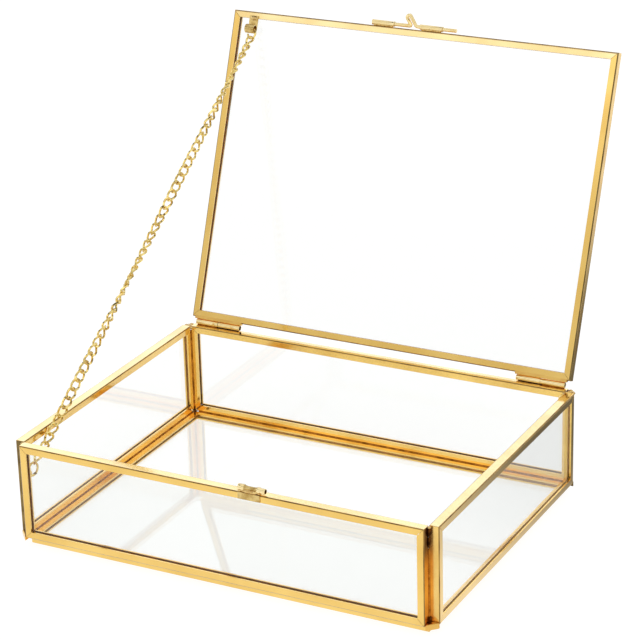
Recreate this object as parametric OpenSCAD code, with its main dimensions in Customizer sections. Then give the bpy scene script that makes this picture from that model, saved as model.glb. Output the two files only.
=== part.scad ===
// Jewelry box of glass panes in soldered brass channel.
// The lid turns on two barrel hinges, a chain holds it open, and a sliding bolt locks it.
// The origin is at the bottom of the box, under its centre. +X runs along the hinge, +Y to the
// back, +Z up. The lid is drawn closed and then turned to where the chain holds it.

/* [Box] */
// Width of the box, along the hinge
body_w = 200; // [140:1:260]
// Depth of the box, front to back
body_d = 152; // [110:1:200]
// Height of the box without its lid
body_h = 48.5; // [42:0.5:80]

/* [Glass and channel] */
// Thickness of the glass panes
glass_t = 3; // [2:0.1:4]
// Wall of the brass channel that frames each pane
came_wall = 0.8; // [0.6:0.1:1.2]
// Width of the channel's faces
came_face = 3.2; // [2.8:0.1:6]
// Outer radius of the channel's bends
bend_r = 0.6; // [0.2:0.1:0.8]
// Gap between a pane's edge and the floor of its channel
glass_gap = 0.2; // [0.1:0.1:0.5]

/* [Solder] */
// Radius of the solder beads along the seams between panels
seam_r = 0.7; // [0.5:0.1:1.2]
// Height of the solder feet that bridge the bottom corners
foot_h = 2; // [1:0.1:3]
// Unsoldered length at the top of each upright seam
seam_open = 6; // [2:0.5:12]

/* [Lid] */
// Distance of the closed lid's ends from the box's ends
lid_side_inset = 3.7; // [2:0.1:8]
// Distance of the closed lid's front and back from the box's front and back
lid_edge_inset = 2.9; // [2.8:0.1:3.6]
// Gap between the closed lid and the box
lid_gap = 0.2; // [0.1:0.1:0.6]
// Angle at which the chain stops the lid
open_angle = 110.9; // [95:0.1:115]

/* [Hinges] */
// Outer diameter of the hinge barrels
hinge_od = 2.5; // [2.3:0.1:3]
// Diameter of the hinge pins
pin_d = 1.4; // [1:0.1:1.6]
// Length of one hinge knuckle
knuckle_len = 11.6; // [6:0.1:16]
// Distance of each hinge's outer end from the side of the box
hinge_inset = 6; // [5.8:0.1:38]
// Gap between the two knuckles of a hinge
knuckle_gap = 0.2; // [0.1:0.1:0.6]
// Height of the hinge axis above the box's top rails
hinge_lift = 1.5; // [1.5:0.1:2.4]
// Distance of the hinge axis behind the closed lid
hinge_back = 2.1; // [1.9:0.1:3]
// How far each pin's open end lies inside its barrel
pin_recess = 1; // [0.2:0.1:3]

/* [Bolt] */
// Diameter of the bolt's wire
bolt_d = 1.7; // [1.2:0.1:1.7]
// Outer diameter of the bolt's guide tubes
guide_od = 2.4; // [2.4:0.1:2.5]
// Distance of the bolt's axis in front of the closed lid
bolt_front = 1.5; // [1.5:0.1:1.8]
// Height of the bolt's axis above the closed lid's underside
bolt_rise = 1.35; // [1.3:0.05:3]
// Left end of the left guide tube
left_guide_x = -25.4; // [-45:0.1:-22]
// Length of the left guide tube
left_guide_len = 12; // [6:0.1:12]
// Left end of the right guide tube
right_guide_x = -0.6; // [-0.6:0.1:0]
// Length of the right guide tube
right_guide_len = 11.1; // [6:0.1:11.1]
// Where the bolt's wire leaves for its handle, left leg
handle_x = -5.1; // [-6:0.1:-4.8]
// Distance between the legs of the handle, along the bolt
handle_gap = 2.4; // [2.2:0.1:2.6]
// Height of the middle of the handle's loop above the bolt's axis
handle_h = 3.2; // [2.6:0.1:8]
// Lean of the handle towards the left guide
handle_lean = 37; // [20:1:40]
// Length of bolt that stands out of the right guide
bolt_reach = 6.6; // [6.2:0.1:7]

/* [Keeper] */
// Gap between the right guide and the keeper tube
keeper_gap = 0.8; // [0.5:0.1:2]
// Length of the keeper tube
keeper_len = 12.5; // [9:0.1:20]
// Diameter of the keeper's waist
waist_d = 2.16; // [2.12:0.02:2.3]
// Depth of the keeper's skirt on the front of the top rail
skirt_h = 2.6; // [1:0.1:2.8]

/* [Chain] */
// Diameter of the chain's wire
chain_wire = 0.7; // [0.5:0.1:0.8]
// Outer width of a link
link_w = 5; // [4.6:0.1:6]
// Pitch of the links, before it is fitted to the length of the chain
link_pitch = 4.8; // [4.4:0.1:6]
// Slack between two links
link_slack = 0.3; // [0.2:0.05:0.6]
// Sag of the chain at its middle
chain_sag = 2.2; // [0:0.1:3]
// Mean radius of the rings at the chain's ends
ring_r = 2.6; // [2.5:0.1:3.4]
// Diameter of the rings' wire
ring_wire = 0.8; // [0.6:0.1:0.8]
// Distance of the chain tab's middle from the end of the lid
tab_inset = 10.3; // [8.4:0.1:60]
// Distance of the tab's eye from the lid's front edge
tab_reach = 8.5; // [7:0.1:20]
// Height of the eyelet on the box's left front upright
eyelet_z = 31; // [18:0.5:36]

/* [Hidden] */
$fn = 48;

// thickness of a framed panel
panel_t = glass_t + 2 * came_wall;
// inside of the box, between the inner faces of its panels
inner_w = body_w - 2 * panel_t;
inner_d = body_d - 2 * panel_t;
wall_h = body_h - panel_t;
lid_w = body_w - 2 * lid_side_inset;
lid_d = body_d - 2 * lid_edge_inset;
// underside of the closed lid
lid_z = body_h + lid_gap;
// distance between the edge of a panel and the edge of its pane
pane_inset = came_wall + glass_gap;
// radial clearance of a pin or a bolt that runs in a bore
run_gap = 0.05;
// a straight wire is this much thinner than the bend it joins, and runs this far into it
weld_step = 0.015;
weld_run = 0.15;

// hinge axis
hinge_y = lid_d / 2 + hinge_back;
hinge_z = body_h + hinge_lift;
// middle of each hinge
hinge_x = body_w / 2 - hinge_inset - knuckle_len - knuckle_gap / 2;
// thickness of the solder under a barrel, and how far it reaches up the side of it
solder_t = 1.3;
solder_rise = 0.9;

// bolt axis with the lid closed
bolt_y = -lid_d / 2 - bolt_front;
bolt_z = lid_z + bolt_rise;
right_guide_end = right_guide_x + right_guide_len;
bolt_end = right_guide_end + bolt_reach;
// the bolt's tail stays inside the left guide
bolt_tail = left_guide_x + 2;
keeper_x = right_guide_end + keeper_gap;
keeper_bore_r = bolt_d / 2 + 0.1;
keeper_wall = 0.5;
// length of the keeper's round ends, and how far its skirt stops short of them
keeper_end = 3.4;
skirt_inset = 0.8;

// chain tab: thickness of its strip, width of the strip and of its eye, and the eye's radii
strip_t = 0.5;
strip_w = 4.6;
eye_w = 3.6;
eye_bore_r = 0.95;
eye_r = eye_bore_r + strip_t;
tab_x = lid_w / 2 - tab_inset;
// the tab starts clear of the top rail that it passes when the lid shuts
tab_start = panel_t - lid_edge_inset + 0.4;
// how far a ring's middle hangs from the eye, and the eyelet's mean radius and wire
ring_drop = ring_r - 0.4;
eyelet_r = 2;
eyelet_wire = 0.7;
// where the ring's wire crosses the eyelet: off the post's face, and towards the chain
ring_off = 1.15;
ring_play = 0.15;
// the eyelet leans this far from upright, towards the chain, and stands off the upright's middle
eyelet_lean = 20;
eyelet_off = 0.3;

// place of a closed lid's point once the lid is open
function opened(p) = let (dy = p[1] - hinge_y, dz = p[2] - hinge_z)
    [p[0],
     hinge_y + dy * cos(open_angle) + dz * sin(open_angle),
     hinge_z - dy * sin(open_angle) + dz * cos(open_angle)];

// the chain's two anchors: the tab's eye and the eyelet
eye_closed = [-tab_x, -lid_d / 2 + tab_reach, lid_z - eye_r];
eye_at = opened(eye_closed);
eyelet_at = [-inner_w / 2, -inner_d / 2 + came_face / 2 + eyelet_off, eyelet_z];
ring_at = eyelet_at + [ring_off, 0, 0];
// the rings lie along the chain, which climbs from the eyelet to the eye
chain_tilt = atan2(eye_at[2] - ring_at[2], eye_at[1] - ring_at[1]);
chain_way = [0, cos(chain_tilt), sin(chain_tilt)];
base_ring_at = ring_at + (ring_play + ring_r) * chain_way;
lid_ring_at = eye_at - ring_drop * chain_way;
// the end wires of the first and the last link lie inside the rings
ring_hold = ring_r - (ring_wire + chain_wire) / 2 - 0.1;
chain_start = base_ring_at + ring_hold * chain_way;
chain_end = lid_ring_at - ring_hold * chain_way;
chain_len = norm(chain_end - chain_start);
// an even count, so that the links at both ends stand square to their rings
link_count = 2 * round(chain_len / link_pitch / 2);
pitch = (chain_len - chain_wire - link_slack) / link_count;
link_r = (link_w - chain_wire) / 2;
link_straight = pitch + chain_wire + link_slack - 2 * link_r;
// the links lie turned by this and by the same the other way, which keeps them off the left wall
link_roll = 45;
// the chain is pushed aside where it passes the inner face of the left top rail
rail_share = (body_h - chain_start[2]) / (chain_end[2] - chain_start[2]);
rail_pass_x = -inner_w / 2 + link_r * cos(link_roll) + chain_wire / 2 + 0.3;
rail_push = max(0, rail_pass_x - chain_start[0] - rail_share * (chain_end[0] - chain_start[0]));
// share of the chain's length at which a link's middle lies
function link_share(i) = (i + 0.5) * pitch / chain_len + (chain_wire + link_slack) / 2 / chain_len;
function chain_at(share) = chain_start + share * (chain_end - chain_start)
    + [rail_push * min(share / rail_share, (1 - share) / (1 - rail_share)), 0, 0]
    - [0, 0, 4 * chain_sag * share * (1 - share)];

// facets of the circles that are cut out of a thin solder section
fine = 128;

brass = "goldenrod";
pane_tint = [0.85, 0.92, 0.9, 0.35];
solder_tint = "darkkhaki";

// ---- shapes that repeat

// outline of the channel's section: x runs into the panel, y through its thickness
module came_outline() {
    translate([bend_r, 0]) square([came_face - bend_r, panel_t]);
    translate([0, bend_r]) square([came_face, panel_t - 2 * bend_r]);
    for (y = [bend_r, panel_t - bend_r]) translate([bend_r, y]) circle(bend_r);
}

module came_section() {
    difference() {
        came_outline();
        translate([came_wall, came_wall]) square([came_face, glass_t]);
    }
}

// a length of channel along X with mitred ends, its back at y = 0 and its mouth towards +Y
module rail(length) {
    color(brass) intersection() {
        translate([-length / 2, 0, 0]) rotate([90, 0, 90]) linear_extrude(length) came_section();
        linear_extrude(panel_t) polygon([
            [-length / 2, 0], [length / 2, 0],
            [length / 2 - came_face, came_face], [-length / 2 + came_face, came_face]
        ]);
    }
}

// the four rails of a panel that lies centred in the XY plane
module low_rail(width, height) {
    translate([0, -height / 2, 0]) rail(width);
}

module high_rail(width, height) {
    rotate([0, 0, 180]) low_rail(width, height);
}

module left_rail(width, height) {
    rotate([0, 0, -90]) low_rail(height, width);
}

module right_rail(width, height) {
    rotate([0, 0, 90]) low_rail(height, width);
}

module pane(width, height) {
    color(pane_tint) translate([-width / 2 + pane_inset, -height / 2 + pane_inset, came_wall])
        cube([width - 2 * pane_inset, height - 2 * pane_inset, glass_t]);
}

// places of the panels, each turned up from the XY plane
module at_front() {
    translate([0, -inner_d / 2, panel_t + wall_h / 2]) rotate([90, 0, 0]) children();
}

module at_back() {
    rotate([0, 0, 180]) at_front() children();
}

module at_right() {
    translate([inner_w / 2, 0, panel_t + wall_h / 2]) rotate([90, 0, 90]) children();
}

module at_left() {
    rotate([0, 0, 180]) at_right() children();
}

module at_closed_lid() {
    translate([0, 0, lid_z]) children();
}

// turns what is drawn on the closed lid to where the chain holds it
module open_lid() {
    translate([0, hinge_y, hinge_z]) rotate([-open_angle, 0, 0])
        translate([0, -hinge_y, -hinge_z]) children();
}

module at_four_corners() {
    for (mx = [0, 1], my = [0, 1]) mirror([mx, 0, 0]) mirror([0, my, 0]) children();
}

module on_both_sides() {
    for (mx = [0, 1]) mirror([mx, 0, 0]) children();
}

// a tube along X from x = 0
module tube(length, outer_r, bore_r) {
    rotate([0, 90, 0]) difference() {
        cylinder(h = length, r = outer_r);
        translate([0, 0, -1]) cylinder(h = length + 2, r = bore_r);
    }
}

module rod(length, r) {
    rotate([0, 90, 0]) cylinder(h = length, r = r);
}

// a flat strip of a section in the YZ plane, along X from x = 0
module along_x(length) {
    rotate([90, 0, 90]) linear_extrude(length) children();
}

module ring(mean_r, wire) {
    rotate_extrude() translate([mean_r, 0]) circle(d = wire);
}

// ---- glass

module front_glass() { at_front() pane(inner_w, wall_h); }
module back_glass() { at_back() pane(inner_w, wall_h); }
module left_glass() { at_left() pane(inner_d, wall_h); }
module right_glass() { at_right() pane(inner_d, wall_h); }
module bottom_glass() { pane(inner_w, inner_d); }
module lid_glass() { open_lid() at_closed_lid() pane(lid_w, lid_d); }

// ---- channel rails

module front_top_rail() { at_front() high_rail(inner_w, wall_h); }
module front_bottom_rail() { at_front() low_rail(inner_w, wall_h); }
module front_left_post() { at_front() left_rail(inner_w, wall_h); }
module front_right_post() { at_front() right_rail(inner_w, wall_h); }

// the back panel is the front one turned round, so its left and right change places
module back_top_rail() { at_back() high_rail(inner_w, wall_h); }
module back_bottom_rail() { at_back() low_rail(inner_w, wall_h); }
module back_left_post() { at_back() right_rail(inner_w, wall_h); }
module back_right_post() { at_back() left_rail(inner_w, wall_h); }

module right_top_rail() { at_right() high_rail(inner_d, wall_h); }
module right_bottom_rail() { at_right() low_rail(inner_d, wall_h); }
module right_front_post() { at_right() left_rail(inner_d, wall_h); }
module right_back_post() { at_right() right_rail(inner_d, wall_h); }

module left_top_rail() { at_left() high_rail(inner_d, wall_h); }
module left_bottom_rail() { at_left() low_rail(inner_d, wall_h); }
module left_front_post() { at_left() right_rail(inner_d, wall_h); }
module left_back_post() { at_left() left_rail(inner_d, wall_h); }

module bottom_front_rail() { low_rail(inner_w, inner_d); }
module bottom_back_rail() { high_rail(inner_w, inner_d); }
module bottom_left_rail() { left_rail(inner_w, inner_d); }
module bottom_right_rail() { right_rail(inner_w, inner_d); }

module lid_front_rail() { open_lid() at_closed_lid() low_rail(lid_w, lid_d); }
module lid_back_rail() { open_lid() at_closed_lid() high_rail(lid_w, lid_d); }
module lid_left_rail() { open_lid() at_closed_lid() left_rail(lid_w, lid_d); }
module lid_right_rail() { open_lid() at_closed_lid() right_rail(lid_w, lid_d); }

// ---- solder

// section of the bead between two panels that meet at an edge, their bends cut out of it
module seam_section() {
    difference() {
        circle(seam_r);
        mirror([1, 0]) came_outline();
        rotate(-90) came_outline();
    }
}

module upright_seam_solder() {
    color(solder_tint) at_four_corners()
        translate([inner_w / 2, inner_d / 2, panel_t + foot_h])
            linear_extrude(wall_h - foot_h - seam_open) seam_section();
}

// the beads under the walls stop short of the corners
module bottom_seam_solder() {
    long = inner_w - 4 * seam_r;
    short = inner_d - 4 * seam_r;
    color(solder_tint) {
        for (a = [0, 180]) rotate([0, 0, a]) translate([0, inner_d / 2, panel_t])
            rotate([-90, 0, 90]) linear_extrude(long, center = true) seam_section();
        for (a = [0, 180]) rotate([0, 0, a]) translate([inner_w / 2, 0, panel_t])
            rotate([-90, 0, 0]) linear_extrude(short, center = true) seam_section();
    }
}

// a three-cornered plate that fills a corner between the edges of two panels
module corner_plate(z, height) {
    translate([inner_w / 2, inner_d / 2, z]) linear_extrude(height)
        polygon([[0, 0], [panel_t, 0], [0, panel_t]]);
}

module corner_foot_solder() {
    color(solder_tint) at_four_corners() corner_plate(panel_t - foot_h / 2, foot_h);
}

module back_corner_solder() {
    color(solder_tint) on_both_sides() corner_plate(body_h - foot_h, foot_h * 0.8);
}

// ---- hinges

knuckle_r = hinge_od / 2;
pin_r = pin_d / 2;
// the box's knuckle lies outside the lid's, and each stands half a gap from the middle
base_knuckle_x = hinge_x + knuckle_gap / 2;
lid_knuckle_x = hinge_x - knuckle_gap / 2 - knuckle_len;

module at_hinge(x) {
    translate([x, hinge_y, hinge_z]) children();
}

// the pin is fast in the box's knuckle
module base_knuckle() {
    color(brass) at_hinge(base_knuckle_x) tube(knuckle_len, knuckle_r, pin_r);
}

module lid_knuckle() {
    color(brass) open_lid() at_hinge(lid_knuckle_x) tube(knuckle_len, knuckle_r, pin_r + run_gap);
}

module hinge_pin() {
    color(brass) at_hinge(lid_knuckle_x + pin_recess)
        rod(2 * knuckle_len + knuckle_gap - pin_recess, pin_r);
}

// solder from the box's top rail up to the barrel, on the flat of the rail
module knuckle_seat() {
    front = solder_t;
    back = body_d / 2 - bend_r - hinge_y;
    color(solder_tint) at_hinge(base_knuckle_x) along_x(knuckle_len) difference() {
        translate([-front, -hinge_lift]) square([front + back, solder_rise]);
        circle(knuckle_r, $fn = fine);
    }
}

// solder from the lid's back rail out to the barrel
module knuckle_arm() {
    color(solder_tint) open_lid() at_hinge(lid_knuckle_x) along_x(knuckle_len) difference() {
        translate([-hinge_back, -solder_rise / 2]) square([hinge_back, solder_t]);
        circle(knuckle_r, $fn = fine);
    }
}

module base_knuckle_right() { base_knuckle(); }
module base_knuckle_left() { mirror([1, 0, 0]) base_knuckle(); }
module lid_knuckle_right() { lid_knuckle(); }
module lid_knuckle_left() { mirror([1, 0, 0]) lid_knuckle(); }
module hinge_pin_right() { hinge_pin(); }
module hinge_pin_left() { mirror([1, 0, 0]) hinge_pin(); }
module base_hinge_solder() { on_both_sides() knuckle_seat(); }
module lid_hinge_solder() { on_both_sides() knuckle_arm(); }

// ---- bolt

module at_bolt(x) {
    translate([x, bolt_y, bolt_z]) children();
}

module guide(x, length) {
    color(brass) open_lid() at_bolt(x) tube(length, guide_od / 2, bolt_d / 2 + run_gap);
}

module bolt_guide_left() { guide(left_guide_x, left_guide_len); }
module bolt_guide_right() { guide(right_guide_x, right_guide_len); }

// solder between the guides and the lid's front rail
module bolt_guide_solder() {
    spans = [[left_guide_x, left_guide_len], [right_guide_x, right_guide_len]];
    color(solder_tint) open_lid() for (span = spans)
        at_bolt(span[0]) along_x(span[1]) difference() {
            translate([0, -solder_rise / 2]) square([bolt_front, solder_rise]);
            circle(d = guide_od, $fn = fine);
        }
}

// one wire: tail, hairpin handle and shank. The handle points away from the lid and leans to the
// left. Its legs are a hair thinner than its bends and run a little way into them.
module latch_bolt() {
    r = bolt_d / 2;
    leg_r = r - weld_step;
    leg = handle_h / cos(handle_lean);
    loop_r = handle_gap * cos(handle_lean) / 2;
    // the right leg starts this much lower along the lean
    heel = handle_gap * sin(handle_lean);
    color(brass) open_lid() at_bolt(0) {
        translate([bolt_tail, 0, 0]) rod(handle_x - bolt_tail, r);
        translate([handle_x + handle_gap, 0, 0]) rod(bolt_end - handle_x - handle_gap, r);
        for (x = [handle_x, handle_x + handle_gap]) translate([x, 0, 0]) sphere(r + weld_step);
        translate([handle_x, 0, 0]) rotate([180, 0, 0]) rotate([0, 0, handle_lean]) {
            rotate([-90, 0, 0]) cylinder(h = leg + weld_run, r = leg_r);
            translate([2 * loop_r, -heel, 0]) rotate([-90, 0, 0])
                cylinder(h = leg + heel + weld_run, r = leg_r);
            translate([loop_r, leg, 0]) rotate_extrude(angle = 180) translate([loop_r, 0]) circle(r);
        }
    }
}

// the keeper: a tube on the box's top rail, drawn in to a waist, with a skirt down the front
module latch_keeper() {
    end_r = guide_od / 2;
    waist_len = keeper_len - 2 * keeper_end;
    seat_back = bolt_front - 0.7;
    skirt_out = body_d / 2 + bolt_y + keeper_wall;
    color(brass) at_bolt(keeper_x) difference() {
        union() {
            rotate([0, 90, 0]) rotate_extrude() polygon([
                [0, 0], [end_r, 0], [end_r, keeper_end],
                [waist_d / 2, keeper_end + waist_len / 3], [waist_d / 2, keeper_end + waist_len * 2 / 3],
                [end_r, keeper_len - keeper_end], [end_r, keeper_len], [0, keeper_len]
            ]);
            translate([skirt_inset, 0, 0]) along_x(keeper_len - 2 * skirt_inset) polygon([
                [-skirt_out, body_h - bolt_z - skirt_h],
                [-skirt_out + keeper_wall, body_h - bolt_z - skirt_h],
                [-skirt_out + keeper_wall, body_h - bolt_z], [seat_back, body_h - bolt_z],
                [seat_back, body_h - bolt_z + solder_rise], [-skirt_out, body_h - bolt_z + keeper_wall]
            ]);
        }
        translate([-1, 0, 0]) rod(keeper_len + 2, keeper_bore_r);
    }
}

// ---- chain

// a strip soldered to the lid's front rail, its end rolled into an eye
module chain_tab() {
    color(brass) open_lid() translate([0, -lid_d / 2, lid_z]) {
        translate([-tab_x - strip_w / 2, 0, 0]) along_x(strip_w)
            translate([tab_start, -strip_t]) square([tab_reach - eye_r - tab_start, strip_t]);
        translate([-tab_x - eye_w / 2, 0, 0]) along_x(eye_w) difference() {
            union() {
                translate([tab_reach - eye_r - strip_t, -strip_t]) square([eye_r + strip_t, strip_t]);
                translate([tab_reach, -eye_r]) circle(eye_r);
            }
            translate([tab_reach, -eye_r]) circle(eye_bore_r);
        }
    }
}

module chain_lid_ring() {
    color(brass) translate(lid_ring_at) rotate([chain_tilt, 0, 0]) ring(ring_r, ring_wire);
}

// the box's ring lies square across the eyelet
module chain_base_ring() {
    color(brass) translate(base_ring_at) rotate([0, 90, 0]) ring(ring_r, ring_wire);
}

// a half ring on the inner face of the left front upright
module chain_eyelet() {
    color(brass) translate(eyelet_at) rotate([90 - eyelet_lean, 0, 0]) rotate([0, 0, -90])
        rotate_extrude(angle = 180) translate([eyelet_r, 0]) circle(d = eyelet_wire);
}

// an oval of wire in the XY plane, its length along X. The straights are a hair thinner than the
// bends and run a little way into them.
module link() {
    straight_r = chain_wire / 2 - weld_step;
    straight_len = link_straight + 2 * weld_run;
    for (way = [-1, 1]) {
        translate([way * link_straight / 2, 0, 0]) rotate([0, 0, -90 * way])
            rotate_extrude(angle = 180) translate([link_r, 0]) circle(d = chain_wire);
        translate([-straight_len / 2, way * link_r, 0]) rod(straight_len, straight_r);
    }
}

// each link lies along the chain, turned square to the one before it
module chain_links() {
    color(brass) for (i = [0 : link_count - 1]) {
        way = chain_at(link_share(i + 0.5)) - chain_at(link_share(i - 0.5));
        translate(chain_at(link_share(i)))
            rotate([0, -asin(way[2] / norm(way)), atan2(way[1], way[0])])
                rotate([i % 2 == 0 ? link_roll : link_roll - 90, 0, 0]) link();
    }
}

front_glass();
back_glass();
left_glass();
right_glass();
bottom_glass();
lid_glass();
front_top_rail();
front_bottom_rail();
front_left_post();
front_right_post();
back_top_rail();
back_bottom_rail();
back_left_post();
back_right_post();
left_top_rail();
left_bottom_rail();
left_front_post();
left_back_post();
right_top_rail();
right_bottom_rail();
right_front_post();
right_back_post();
bottom_front_rail();
bottom_back_rail();
bottom_left_rail();
bottom_right_rail();
lid_front_rail();
lid_back_rail();
lid_left_rail();
lid_right_rail();
upright_seam_solder();
bottom_seam_solder();
corner_foot_solder();
back_corner_solder();
base_knuckle_left();
base_knuckle_right();
lid_knuckle_left();
lid_knuckle_right();
hinge_pin_left();
hinge_pin_right();
base_hinge_solder();
lid_hinge_solder();
bolt_guide_left();
bolt_guide_right();
bolt_guide_solder();
latch_bolt();
latch_keeper();
chain_tab();
chain_lid_ring();
chain_links();
chain_base_ring();
chain_eyelet();
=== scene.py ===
"""Jewelry box of glass panes in soldered brass channel, dressed for the render.

Lengths are in millimetres in the sizes and in metres in the finished meshes. +X runs along the
hinge, +Y to the back and +Z up, and the lid is modelled where its chain holds it open.
"""

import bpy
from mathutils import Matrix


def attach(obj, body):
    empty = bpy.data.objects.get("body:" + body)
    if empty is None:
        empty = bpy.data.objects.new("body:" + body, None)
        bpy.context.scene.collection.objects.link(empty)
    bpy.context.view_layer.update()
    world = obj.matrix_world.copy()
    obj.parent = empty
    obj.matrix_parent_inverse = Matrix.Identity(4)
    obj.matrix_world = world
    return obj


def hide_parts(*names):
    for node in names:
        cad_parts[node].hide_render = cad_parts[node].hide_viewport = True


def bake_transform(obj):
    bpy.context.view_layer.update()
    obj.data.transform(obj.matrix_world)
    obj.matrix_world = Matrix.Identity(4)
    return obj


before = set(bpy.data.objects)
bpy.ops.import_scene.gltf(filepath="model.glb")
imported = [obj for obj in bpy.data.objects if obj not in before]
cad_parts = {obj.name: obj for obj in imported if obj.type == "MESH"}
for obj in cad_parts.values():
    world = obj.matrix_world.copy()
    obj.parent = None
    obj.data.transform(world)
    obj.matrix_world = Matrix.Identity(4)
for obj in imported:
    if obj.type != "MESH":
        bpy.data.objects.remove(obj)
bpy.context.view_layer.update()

import logging
import math
from dataclasses import dataclass
from enum import Enum
from typing import Callable, Iterable, Optional, Sequence

import bpy
from mathutils import Matrix, Vector

LOG = logging.getLogger("jewelry_box")
MM = 0.001
Obj, Tree, Socket = bpy.types.Object, bpy.types.NodeTree, bpy.types.NodeSocket
Point = tuple[float, float, float]
# takes an element's middle and its normal, or an edge's direction
Test = Callable[[Vector, Vector], bool]
# edges of round pieces sharper than this, in degrees, stay sharp
ROUND = 50.0
# turns X to Y, Y to Z and Z to X
CYCLE = Matrix(((0, 0, 1, 0), (1, 0, 0, 0), (0, 1, 0, 0), (0, 0, 0, 1)))


class Part(Enum):
    """What a selection picks on a mesh."""

    VERT = 0
    EDGE = 1
    FACE = 2


class Side(Enum):
    """The four sides of a framed panel, by the turn that brings a low rail there."""

    LOW = 0.0
    HIGH = 180.0
    LEFT = -90.0
    RIGHT = 90.0


# ---- modelling helpers


def turn(degrees: float, axis: str) -> Matrix:
    """A turn about an axis."""
    return Matrix.Rotation(math.radians(degrees), 4, axis)


def shift(*by: float) -> Matrix:
    """A move along X, Y and Z."""
    return Matrix.Translation(by)


def aligned(x_axis: Vector, y_axis: Vector) -> Matrix:
    """The turn that takes X and Y to two square unit vectors."""
    return Matrix((x_axis, y_axis, x_axis.cross(y_axis))).transposed().to_4x4()


def deselect_all() -> None:
    """Leave edit mode and deselect every object."""
    if bpy.context.object is not None and bpy.context.object.mode != "OBJECT":
        bpy.ops.object.mode_set(mode="OBJECT")
    bpy.ops.object.select_all(action="DESELECT")


def focus(obj: Obj) -> None:
    """Make one object the only selected and active one."""
    deselect_all()
    obj.select_set(True)
    bpy.context.view_layer.objects.active = obj


def pick(obj: Obj, part: Part, test: Test) -> None:
    """Enter edit mode with the elements that pass a test selected.

    Args:
        obj: the mesh object to edit.
        part: whether vertices, edges or faces are picked.
        test: says which elements are picked.
    """
    focus(obj)
    mesh = obj.data
    for group in (mesh.vertices, mesh.edges, mesh.polygons):
        group.foreach_set("select", [False] * len(group))
    if part is Part.VERT:
        for vert in mesh.vertices:
            vert.select = test(vert.co, vert.normal)
    elif part is Part.EDGE:
        for edge in mesh.edges:
            a, b = (mesh.vertices[i].co for i in edge.vertices)
            edge.select = test((a + b) / 2, (b - a).normalized())
    else:
        for face in mesh.polygons:
            face.select = test(face.center, face.normal)
    bpy.context.tool_settings.mesh_select_mode = tuple(part.value == i for i in range(3))
    bpy.ops.object.mode_set(mode="EDIT")


def pick_all(obj: Obj) -> None:
    """Enter edit mode with everything selected."""
    focus(obj)
    bpy.ops.object.mode_set(mode="EDIT")
    bpy.ops.mesh.select_all(action="SELECT")


def leave_edit() -> None:
    """Go back to object mode."""
    bpy.ops.object.mode_set(mode="OBJECT")


def close_edit() -> None:
    """Turn the mesh in edit mode outwards and go back to object mode."""
    bpy.ops.mesh.select_all(action="SELECT")
    bpy.ops.mesh.remove_doubles(threshold=0.0005)
    bpy.ops.mesh.normals_make_consistent(inside=False)
    leave_edit()


def roughen(offset: float, seed: int, factor: float = 0.5, repeat: int = 1) -> None:
    """Scatter the selected vertices in edit mode and smooth them a little."""
    bpy.ops.transform.vertex_random(offset=offset, uniform=0.0, normal=0.0, seed=seed)
    bpy.ops.mesh.vertices_smooth(factor=factor, repeat=repeat)


def cut_off(obj: Obj, point: Point, normal: Point) -> None:
    """Cut away what lies beyond a plane, fill the cut and stay in edit mode."""
    pick_all(obj)
    bpy.ops.mesh.bisect(plane_co=point, plane_no=normal, use_fill=True, clear_outer=True)


def bake() -> Obj:
    """Apply the selected object's place, turn and scale to its mesh, and return it."""
    bpy.ops.object.transform_apply(location=True, rotation=True, scale=True)
    return bpy.context.object


def placed(obj: Obj, place: Matrix) -> Obj:
    """Move an object's mesh, and leave the object at the origin."""
    focus(obj)
    obj.matrix_world = place
    return bake()


def settle(obj: Obj, place: Matrix, name: str) -> None:
    """Move a mesh drawn in millimetres to its place in metres, and name it."""
    placed(obj, Matrix.Scale(MM, 4) @ place)
    obj.name = obj.data.name = name


def mirrored(obj: Obj) -> None:
    """Mirror a mesh across X = 0 and turn its faces outwards again."""
    placed(obj, Matrix.Scale(-1, 4, Vector((1, 0, 0))))
    pick_all(obj)
    close_edit()


def modify(obj: Obj, kind: str, **settings: object) -> None:
    """Add a modifier with its settings, and apply it."""
    focus(obj)
    modifier = obj.modifiers.new(kind, kind)
    for key, value in settings.items():
        setattr(modifier, key, value)
    bpy.ops.object.modifier_apply(modifier=modifier.name)


def smooth_below(degrees: float) -> None:
    """Shade the selected object smooth, but for its sharper edges."""
    bpy.ops.object.shade_smooth_by_angle(angle=math.radians(degrees))


def soften(obj: Obj, width: float, segments: int = 2, angle: float = 32.0,
           smooth: bool = True) -> Obj:
    """Bevel the sharp edges, and shade the bends smooth and the large flat faces flat.

    Args:
        obj: the mesh object.
        width: width of the bevel, in the mesh's own units.
        segments: segments of the bevel.
        angle: edges sharper than this, in degrees, are bevelled.
        smooth: whether the bends are shaded smooth; a polished pane stays flat.

    Returns:
        The same object.
    """
    modify(obj, "BEVEL", width=width, segments=segments, limit_method="ANGLE",
           angle_limit=math.radians(angle), use_clamp_overlap=True)
    if smooth:
        smooth_below(angle)
        modify(obj, "WEIGHTED_NORMAL", mode="FACE_AREA", weight=100, keep_sharp=True)
    else:
        bpy.ops.object.shade_flat()
    return obj


def round_over(obj: Obj) -> Obj:
    """Round a mesh by one subdivision and shade it smooth."""
    modify(obj, "SUBSURF", levels=1, render_levels=1)
    bpy.ops.object.shade_smooth()
    return obj


def block(size: Point, at: Point = (0, 0, 0)) -> Obj:
    """A block of a size, its middle at a point."""
    bpy.ops.mesh.primitive_cube_add(size=1, location=at)
    bpy.context.object.scale = size
    return bake()


def plane(width: float, depth: float, at: Point) -> Obj:
    """A level rectangle, its middle at a point."""
    bpy.ops.mesh.primitive_plane_add(size=1, location=at)
    bpy.context.object.scale = (width, depth, 1)
    return bake()


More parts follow.
